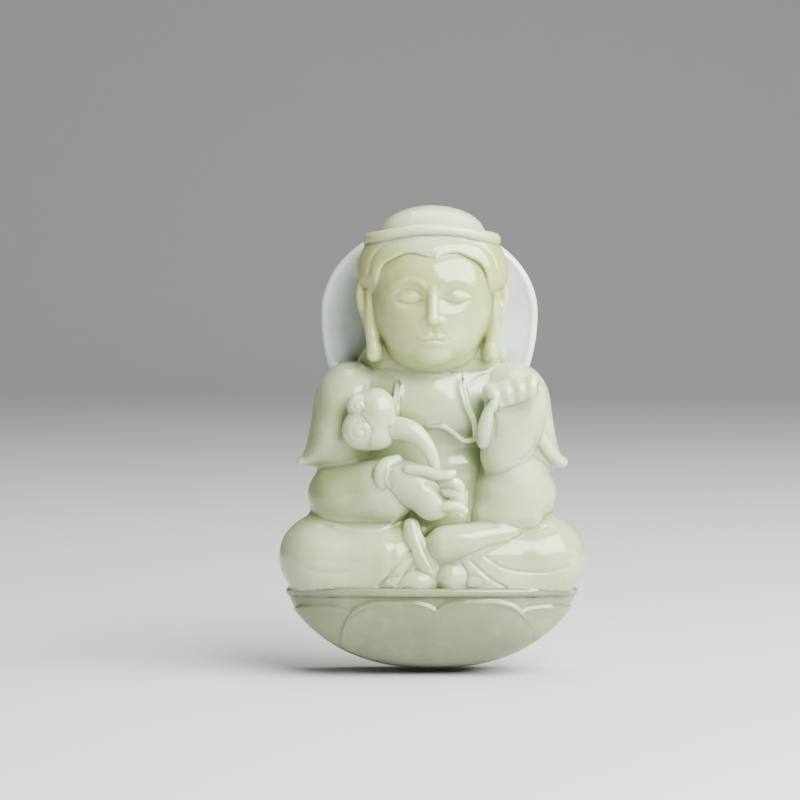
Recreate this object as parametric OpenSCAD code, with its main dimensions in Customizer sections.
// Jade pendant figurine: a robed figure seated on a lotus, with a round halo behind the head.
// It is cut from one stone. Every carved element is a node of its own, and each node gives way
// to the ones before it in NODES, so that the elements meet face to face and never overlap.
// Frame: +Z up through the head, -Y out of the face, origin under the middle of the lotus.

/* [Overall] */
// Height from the keel of the lotus to the top of the hair knot
total_h = 52; // [44:1:64]
// Width across the knees
total_w = 34; // [30:1:42]
// Depth from the flat back to the tip of the nose
total_d = 14; // [12:0.5:17]

/* [Halo] */
// Half the width of the halo
halo_r = 12.1; // [11:0.1:12.5]
// Thickness of the halo
halo_t = 2.1; // [1.5:0.1:2.6]

/* [Cord hole] */
// Radius of the hole that the hanging cord passes through
cord_r = 0.8; // [0.5:0.1:1]

/* [Lotus] */
// Radius of the curved keel, seen from the front
keel_r = 21; // [18:0.5:24]
// Height of the lotus seat
seat_h = 9.4; // [8.6:0.1:9.8]
// Thickness of the lotus rim
rim_t = 1.4; // [1:0.1:1.8]

/* [Facets] */
// Facets round each rounded form
form_fn = 16; // [14:2:24]

/* [Hidden] */
NODES = [
    "hair_crown", "halo_disc", "hair_knot",
    "right_thumb", "right_fingers", "right_hand", "right_cuff",
    "left_fingers", "left_thumb", "left_hand",
    "ruyi_handle", "ruyi_lobe", "ruyi_head",
    "crossed_foot", "robe_sash", "hem_lobe_right", "hem_lobe_left",
    "right_ear", "left_ear", "face", "hair_band", "hair_sides", "neck",
    "left_sleeve_edge",
    "right_forearm", "left_forearm", "right_shoulder", "left_shoulder",
    "collar_right", "collar_left", "undershirt_edge",
    "right_knee", "left_knee", "lotus_rim",
    "petal_front", "petal_side_right", "petal_side_left",
    "chest"
];

jade_body = [0.80, 0.86, 0.77];
jade_warm = [0.82, 0.85, 0.70];
jade_pale = [0.84, 0.89, 0.87];

// The forms are laid out on a 34 x 14 x 52 block. One unit is that block's millimetre.
unit = [total_w / 34, total_d / 14, total_h / 52];
back_y = total_d / 2;              // flat back of the whole carving
halo_front = back_y - halo_t;      // face of the halo, behind the head
halo_z = 39.6 * unit.z;            // widest level of the halo
halo_rise = 9.9 * unit.z;          // from there to its top
halo_drop = 16 * unit.z;           // and to where its sides would close, far below the shoulders
halo_foot = 33.2 * unit.z;         // the halo ends here, behind the shoulders
crown_floor = 46.5 * unit.z;       // underside of the crown and of the hair band
crown_top = 50 * unit.z;           // the hair knot stands on this plane
crown_y = 1.5 * unit.y;            // the hair band lies in front of this plane
cord_y = 3.1 * unit.y;             // axis of the cord hole
cord_z = 48.45 * unit.z;
fine_fn = 72;                      // round faces of the disc, keel and cord hole

function at(p) = [p.x * unit.x, p.y * unit.y, p.z * unit.z];
function flip(c) = [-c[0], c[1], c[2], c[3], c[4], c[5]];   // the same blob on the other side
function flipped(path) = [for (c = path) flip(c)];

// One ellipsoid: c holds its centre and its three radii.
module blob(c, fn = form_fn) {
    translate(at([c[0], c[1], c[2]]))
        scale(at([c[3], c[4], c[5]]))
            sphere(r = 1, $fn = fn);
}

// A limb: each blob of the path is joined to the next by a smooth skin.
module limb(path, fn = form_fn) {
    for (i = [0 : len(path) - 2])
        hull() {
            blob(path[i], fn);
            blob(path[i + 1], fn);
        }
}

// One smooth skin round all the blobs.
module skin(blobs, fn = form_fn) {
    hull()
        for (c = blobs)
            blob(c, fn);
}

// A block from one corner to another.
module block(low, high) {
    translate(low)
        cube(high - low);
}

// Everything in front of the flat back.
module stock() {
    block([-total_w, -total_d, -1], [total_w, back_y, total_h + 1]);
}

// ---------------------------------------------------------------- head

module hair_crown_form() {
    difference() {
        intersection() {
            blob([0, 1.2, 45.6, 7.4, 6, 5.4], fine_fn);
            block([-total_w, crown_y, crown_floor], [total_w, halo_front, crown_top]);
        }
        translate([0, cord_y, cord_z])
            rotate([0, 90, 0])
                cylinder(r = cord_r, h = total_w, center = true, $fn = fine_fn);
    }
}

module hair_knot_form() {
    intersection() {
        blob([0, 0.3, 48.35, 6.9, 5.5, 3.65], fine_fn);
        block([-total_w, -total_d, crown_top], [total_w, halo_front, 2 * total_h]);
    }
}

// The halo in front view: round above its widest level, drawn out below it.
function halo_outline(inset, steps = 72) = [
    for (i = [0 : steps - 1])
        let (a = 360 * i / steps, reach = sin(a) > 0 ? halo_rise : halo_drop)
        [(halo_r - inset) * cos(a), (reach - inset) * sin(a)]
];

module halo_layer(inset, front, back) {
    translate([0, back, halo_z])
        rotate([90, 0, 0])
            linear_extrude(back - front)
                polygon(halo_outline(inset));
}

// A flat plate with a stepped front edge, cut off level behind the shoulders.
module halo_disc_form() {
    step = halo_t * 0.35;
    difference() {
        union() {
            halo_layer(0, halo_front + step, back_y);
            halo_layer(step, halo_front, back_y);
        }
        block([-total_w, 0, 0], [total_w, total_d, halo_foot]);
    }
}

// An even, egg-shaped face with closed eyelids, a straight nose and a small mouth.
module face_form() {
    brow_z = 43;
    nose_z = 38.7;
    skin([
        [0, -0.8, 45.4, 6, 4.5, 3.6], [0, -1.5, 41.4, 6.1, 4.6, 4.4],
        [0, -1.9, 38.6, 5.2, 4.2, 3], [0, -2.3, 36.4, 2.9, 3.2, 2]
    ]);
    skin([[0, -5.2, brow_z, 0.5, 0.6, 0.6], [0, -6.2, nose_z + 0.4, 0.8, 0.8, 0.7]], 12);
    for (side = [-1, 1]) {
        blob([side * 2.6, -5.1, 42, 1.45, 0.8, 0.75], 12);
        blob([side * 0.5, -5.5, 37, 0.9, 0.6, 0.4], 12);
    }
}

right_ear_path = [
    [-7, 0.4, 42.4, 0.9, 1.6, 1.7], [-6.9, 0, 39, 0.8, 1.3, 1.6], [-6.8, -0.6, 36, 1, 1.2, 1.1]
];

module right_ear_form() limb(right_ear_path);
module left_ear_form() limb(flipped(right_ear_path));

// The rolled band of hair over the forehead, in front of the crown.
module hair_band_form() {
    intersection() {
        union() {
            blob([0, 0.6, 47.6, 6.8, 4.9, 3]);
            limb([
                [-6.5, 1.2, 48, 0.9, 1.4, 1.5], [-4.6, -2.7, 48.2, 0.9, 1.1, 1.7],
                [0, -4.1, 48.3, 1, 1, 1.7], [4.6, -2.7, 48.2, 0.9, 1.1, 1.7],
                [6.5, 1.2, 48, 0.9, 1.4, 1.5]
            ]);
        }
        block([-total_w, -total_d, crown_floor], [total_w, crown_y, crown_top]);
    }
}

// The hair that frames the face, down to the ears.
module hair_sides_form() {
    intersection() {
        skin([[0, 0.9, 44, 8.4, 4.9, 5.6], [0, 1.6, 39.4, 6.8, 3.8, 4]]);
        block([-total_w, -total_d, halo_foot], [total_w, halo_front, crown_floor]);
    }
}

module neck_form() {
    skin([[0, 1.2, 35.6, 4.4, 3.4, 2], [0, 1.6, 32.8, 5.2, 3.6, 2]]);
}

// ---------------------------------------------------------------- hands and sceptre

// The hand that holds the sceptre lies across the waist, fingers to the figure's left.
module right_hand_form() {
    skin([[-4, -4.2, 21.6, 1.8, 1.7, 2.2], [-1, -4.9, 21.2, 2.4, 1.6, 2.8]]);
}

module right_thumb_form() {
    limb([
        [-1.4, -5.8, 22.6, 0.9, 0.7, 0.8], [0.6, -6, 22.5, 0.8, 0.7, 0.7],
        [1.9, -5.9, 22.9, 0.6, 0.6, 0.6]
    ], 12);
}

module right_fingers_form() {
    for (i = [0 : 2])
        limb([
            [0.8, -5.3, 21.4 - i, 0.8, 0.8, 0.7], [2.3 + 0.2 * i, -5.8, 21.4 - 1.1 * i, 0.7, 0.7, 0.65],
            [2.6 + 0.2 * i, -5, 21.2 - 1.2 * i, 0.6, 0.7, 0.6]
        ], 12);
}

module right_cuff_form() {
    skin([[-5.6, -3, 22, 1, 2.4, 2.6], [-4.6, -3.6, 22.2, 0.9, 1.9, 2.4]]);
}

// The other hand is raised before the shoulder, its fingers bent over at the top.
module left_hand_form() {
    limb([
        [9, -3.8, 30.2, 3.3, 2.1, 2.8], [8.3, -3.3, 26.9, 2.8, 2.2, 2],
        [7.6, -1.6, 23.6, 2.4, 2.8, 1.9]
    ]);
}

module left_fingers_form() {
    for (i = [0 : 3])
        limb([
            [6.7 + 1.4 * i, -4.6, 31.6 + 0.15 * i, 0.85, 0.8, 0.9],
            [6.8 + 1.4 * i, -5.1, 33 + 0.2 * i, 0.8, 0.8, 0.7],
            [7 + 1.3 * i, -6, 32.2 + 0.2 * i, 0.7, 0.6, 0.7]
        ], 12);
}

module left_thumb_form() {
    limb([
        [6.1, -4.6, 27.6, 0.9, 0.9, 1], [6, -5.4, 29.8, 0.8, 0.75, 0.9],
        [6.4, -5.9, 31.2, 0.65, 0.6, 0.7]
    ], 12);
}

module ruyi_handle_form() {
    limb([
        [-4.7, -4.9, 27.7, 1.2, 0.9, 1.45], [-2.5, -4.9, 27.5, 1, 0.9, 1.3],
        [-1, -4.9, 26.5, 0.9, 0.9, 1], [-0.1, -5, 25.2, 0.7, 0.8, 0.8],
        [0.4, -5.2, 23.6, 0.6, 0.7, 0.7]
    ], 12);
}

// The head of the sceptre is a cloud: a small lobe over a large one, before a rounded back.
module ruyi_lobe_form() {
    skin([[-8.1, -4.6, 30.2, 1.3, 1.3, 1.3], [-7.9, -3.2, 30.2, 1.3, 1.3, 1.3]]);
    skin([[-7.9, -4.6, 27.4, 2.1, 1.6, 2.2], [-7.7, -3.2, 27.5, 2.1, 1.6, 2.2]]);
}

module ruyi_head_form() {
    skin([
        [-6, -4.4, 29.6, 1.9, 1.4, 2.3], [-6, -4.5, 27.2, 1.8, 1.4, 1.7],
        [-6.6, -2.6, 28.6, 2.3, 1.7, 2.8]
    ]);
}

// ---------------------------------------------------------------- robe and arms

right_shoulder_path = [
    [-4.6, 3.4, 32, 3, 3.9, 2.5], [-9.5, 2.4, 30.5, 3.5, 5, 3.8], [-10.6, 2.4, 25.6, 2.8, 4.9, 3.2]
];
sleeve_tip_path = [[-12.2, 2.4, 25.2, 1.3, 3.6, 1.6], [-14.3, 2.4, 23.5, 0.5, 2.4, 0.5]];

// A sleeve: a broad fall of cloth, with the corner of its hem drawn out at the elbow.
module sleeve(path, tip_path) {
    limb(path);
    skin(tip_path);
}

module right_shoulder_form() sleeve(right_shoulder_path, sleeve_tip_path);
module left_shoulder_form() sleeve(flipped(right_shoulder_path), flipped(sleeve_tip_path));

module left_sleeve_edge_form() {
    limb([
        [10.4, -3, 27.6, 0.7, 1.2, 0.8], [12.2, -2, 25.5, 0.7, 1.8, 0.8],
        [14, 0, 23.7, 0.6, 1.8, 0.6]
    ], 12);
}

module right_forearm_form() {
    limb([[-9.6, 2.4, 20.5, 3.9, 5.2, 3.3], [-6.6, -2, 21.1, 2.6, 3.2, 2.8]]);
}

module left_forearm_form() {
    skin([[9.6, 2.2, 20.5, 3.9, 5.4, 3.3], [7.6, -0.6, 21.4, 2.2, 3.4, 2.4]]);
}

// The turned edge of the robe at each side of the throat.
module collar_right_form() {
    limb([
        [-3.5, -1.2, 34, 0.5, 1, 0.5], [-4, -3.1, 31, 0.45, 0.7, 0.5],
        [-3.9, -3.6, 28.6, 0.45, 0.6, 0.5]
    ], 12);
}

module collar_left_form() {
    limb([
        [3.4, -1.2, 34.2, 0.5, 1, 0.5], [3.6, -3, 31.6, 0.45, 0.7, 0.5],
        [4.6, -3.5, 28.8, 0.45, 0.6, 0.5], [4.9, -3.3, 26.6, 0.45, 0.6, 0.5]
    ], 12);
}

module undershirt_edge_form() {
    limb([
        [-0.4, -3.7, 27.7, 0.4, 0.6, 0.35], [1.4, -3.7, 27.5, 0.4, 0.6, 0.35],
        [3.2, -3.5, 26.4, 0.4, 0.6, 0.35], [4.6, -3.3, 26.4, 0.4, 0.6, 0.35]
    ], 12);
}

module chest_form() {
    skin([[-4.4, 2, 30, 4.6, 5.4, 4], [4.4, 2, 30, 4.6, 5.4, 4], [0, 3, 20, 10, 5, 6]]);
}

// ---------------------------------------------------------------- legs

right_knee_path = [[-12.2, 2, 13.6, 4.8, 5.8, 4.1], [-4.6, -1.2, 13.3, 4.8, 4.6, 3.9]];

module right_knee_form() limb(right_knee_path);
module left_knee_form() limb(flipped(right_knee_path));

// The foot that is drawn up over the opposite calf.
module crossed_foot_form() {
    limb([
        [1.3, -4.3, 14.9, 1.9, 2, 2.1], [4.8, -4.3, 15.6, 1.8, 1.8, 1.6],
        [8.7, -3.6, 16.1, 0.9, 1, 0.9]
    ]);
}

module robe_sash_form() {
    limb([
        [-2.3, -4.4, 16.6, 1, 1.6, 0.9], [-1.4, -5.2, 14.4, 0.95, 1.3, 1],
        [-0.2, -5.4, 12.4, 0.85, 1.2, 0.9]
    ], 12);
}

module hem_lobe_right_form() skin([[-2, -4.4, 10.9, 2.6, 2.3, 1.5], [-2, -2, 11.4, 2.6, 2.3, 1.5]]);
module hem_lobe_left_form() skin([[2.8, -4.4, 11, 2, 2.3, 1.7], [2.8, -2, 11.4, 2, 2.3, 1.7]]);

// ---------------------------------------------------------------- lotus

// The seat in plan: a flat back and a full, rounded front that runs out to a point at each end.
function seat_outline(half_w, front, steps = 24) = [
    for (i = [0 : steps])
        let (a = 180 * i / steps)
        [half_w * cos(a), 3 * unit.y - (front + 3 * unit.y) * pow(sin(a), 0.8)]
];

module seat_plate(half_w, front, low, high) {
    translate([0, 0, low])
        linear_extrude(high - low)
            polygon(concat(
                seat_outline(half_w, front),
                [[-half_w * 0.86, back_y], [half_w * 0.86, back_y]]
            ));
}

module lotus_rim_form() {
    half_w = total_w / 2 - 0.65;
    hull() {
        seat_plate(half_w, back_y * 0.93, seat_h - rim_t * 0.55, seat_h - rim_t * 0.45);
        seat_plate(half_w - 0.8, back_y * 0.86, seat_h - rim_t, seat_h);
    }
}

// A slice of the round keel between two planes, below the rim.
module keel_slice(r, front, back, top) {
    intersection() {
        translate([0, back, keel_r])
            rotate([90, 0, 0])
                cylinder(r = r, h = back - front, $fn = fine_fn);
        block([-total_w, -total_d, 0], [total_w, total_d, top]);
    }
}

module lotus_bowl() {
    top = seat_h - rim_t;
    hull() {
        seat_plate(total_w / 2 - 0.9, back_y * 0.9, top - 0.4, top);
        keel_slice(keel_r * 0.972, -4.4 * unit.y, back_y, top - 1.5);
        keel_slice(keel_r, -1.6 * unit.y, back_y - 1.6, top - 2);
    }
}

// One petal: the part of the bowl between two upright planes.
module petal(from_x, to_x) {
    intersection() {
        lotus_bowl();
        block([from_x * unit.x, -total_d, -1], [to_x * unit.x, total_d, total_h]);
    }
}

module petal_side_right_form() petal(-20, -9.8);
module petal_front_form() petal(-9.8, 9.8);
module petal_side_left_form() petal(9.8, 20);

// ---------------------------------------------------------------- nodes

module child_number(index) children(index);

// Every form in the order of NODES.
module form(index) {
    child_number(index) {
        hair_crown_form();
        halo_disc_form();
        hair_knot_form();
        right_thumb_form();
        right_fingers_form();
        right_hand_form();
        right_cuff_form();
        left_fingers_form();
        left_thumb_form();
        left_hand_form();
        ruyi_handle_form();
        ruyi_lobe_form();
        ruyi_head_form();
        crossed_foot_form();
        robe_sash_form();
        hem_lobe_right_form();
        hem_lobe_left_form();
        right_ear_form();
        left_ear_form();
        face_form();
        hair_band_form();
        hair_sides_form();
        neck_form();
        left_sleeve_edge_form();
        right_forearm_form();
        left_forearm_form();
        right_shoulder_form();
        left_shoulder_form();
        collar_right_form();
        collar_left_form();
        undershirt_edge_form();
        right_knee_form();
        left_knee_form();
        lotus_rim_form();
        petal_front_form();
        petal_side_right_form();
        petal_side_left_form();
        chest_form();
    }
}

// The crown and the halo keep their whole form. Each later node is cut to the flat back,
// and gives way to every form before it.
whole = 2;

module carve(name) {
    index = search([name], NODES)[0];
    if (index < whole)
        form(index);
    else
        difference() {
            intersection() {
                form(index);
                stock();
            }
            for (i = [0 : index - 1])
                form(i);
        }
}

module hair_crown() color(jade_warm) carve("hair_crown");
module halo_disc() color(jade_pale) carve("halo_disc");
module hair_knot() color(jade_warm) carve("hair_knot");
module right_thumb() color(jade_body) carve("right_thumb");
module right_fingers() color(jade_body) carve("right_fingers");
module right_hand() color(jade_body) carve("right_hand");
module right_cuff() color(jade_body) carve("right_cuff");
module left_fingers() color(jade_body) carve("left_fingers");
module left_thumb() color(jade_body) carve("left_thumb");
module left_hand() color(jade_body) carve("left_hand");
module ruyi_handle() color(jade_body) carve("ruyi_handle");
module ruyi_lobe() color(jade_body) carve("ruyi_lobe");
module ruyi_head() color(jade_body) carve("ruyi_head");
module crossed_foot() color(jade_body) carve("crossed_foot");
module robe_sash() color(jade_body) carve("robe_sash");
module hem_lobe_right() color(jade_body) carve("hem_lobe_right");
module hem_lobe_left() color(jade_body) carve("hem_lobe_left");
module right_ear() color(jade_warm) carve("right_ear");
module left_ear() color(jade_warm) carve("left_ear");
module face() color(jade_warm) carve("face");
module hair_band() color(jade_warm) carve("hair_band");
module hair_sides() color(jade_warm) carve("hair_sides");
module neck() color(jade_warm) carve("neck");
module left_sleeve_edge() color(jade_body) carve("left_sleeve_edge");
module right_forearm() color(jade_body) carve("right_forearm");
module left_forearm() color(jade_body) carve("left_forearm");
module right_shoulder() color(jade_body) carve("right_shoulder");
module left_shoulder() color(jade_body) carve("left_shoulder");
module collar_right() color(jade_body) carve("collar_right");
module collar_left() color(jade_body) carve("collar_left");
module undershirt_edge() color(jade_body) carve("undershirt_edge");
module right_knee() color(jade_body) carve("right_knee");
module left_knee() color(jade_body) carve("left_knee");
module lotus_rim() color(jade_body) carve("lotus_rim");
module petal_front() color(jade_body) carve("petal_front");
module petal_side_right() color(jade_body) carve("petal_side_right");
module petal_side_left() color(jade_body) carve("petal_side_left");
module chest() color(jade_body) carve("chest");

hair_crown();
halo_disc();
hair_knot();
right_thumb();
right_fingers();
right_hand();
right_cuff();
left_fingers();
left_thumb();
left_hand();
ruyi_handle();
ruyi_lobe();
ruyi_head();
crossed_foot();
robe_sash();
hem_lobe_right();
hem_lobe_left();
right_ear();
left_ear();
face();
hair_band();
hair_sides();
neck();
left_sleeve_edge();
right_forearm();
left_forearm();
right_shoulder();
left_shoulder();
collar_right();
collar_left();
undershirt_edge();
right_knee();
left_knee();
lotus_rim();
petal_front();
petal_side_right();
petal_side_left();
chest();
